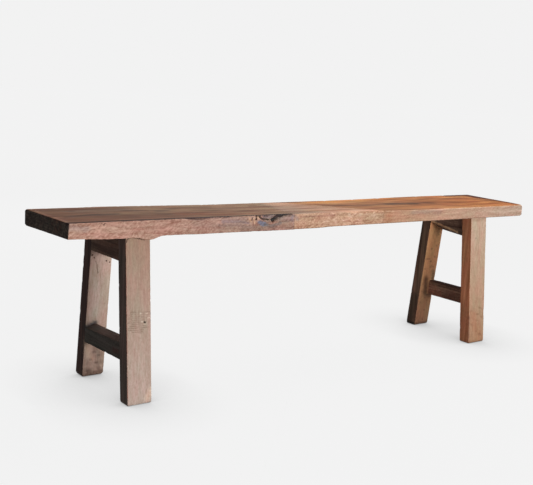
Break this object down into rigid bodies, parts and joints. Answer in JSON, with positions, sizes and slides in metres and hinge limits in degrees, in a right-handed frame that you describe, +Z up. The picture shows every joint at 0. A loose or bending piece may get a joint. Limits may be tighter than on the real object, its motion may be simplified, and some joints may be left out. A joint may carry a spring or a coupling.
{
  "type": "farmhouse bench",
  "caption": "Long farmhouse bench with a thick plank seat spliced at mid length, on splayed trestle legs joined by top rails and low stretchers.",
  "frame": {"origin": "on the floor, under the middle of the seat", "axes": "+X along the seat, -Y towards the front, +Z up"},
  "size_m": [1.64, 0.2862, 0.45],
  "materials": {
    "seat_left_wood": "worn, lightly oiled",
    "splice_wood": "worn, lightly oiled",
    "seat_right_wood": "worn, lightly oiled",
    "leg_wood": "sawn and sanded, dry",
    "rail_wood": "sawn and sanded, dry",
    "peg_wood": "turned, dry",
    "screw_steel": "zinc plated"
  },
  "bodies": {
    "root": {"seat_left_board": "seat_left_wood", "seat_splice_piece": "splice_wood", "seat_right_board": "seat_right_wood", "left_splice_tongue": "peg_wood", "right_splice_tongue": "peg_wood", "left_front_leg": "leg_wood", "left_back_leg": "leg_wood", "right_front_leg": "leg_wood", "right_back_leg": "leg_wood", "left_top_rail": "rail_wood", "right_top_rail": "rail_wood", "left_stretcher": "rail_wood", "right_stretcher": "rail_wood", "left_top_rail_pegs": "peg_wood", "right_top_rail_pegs": "peg_wood", "left_stretcher_pegs": "peg_wood", "right_stretcher_pegs": "peg_wood", "left_seat_screws": "screw_steel", "right_seat_screws": "screw_steel"}
  },
  "joints": []
}
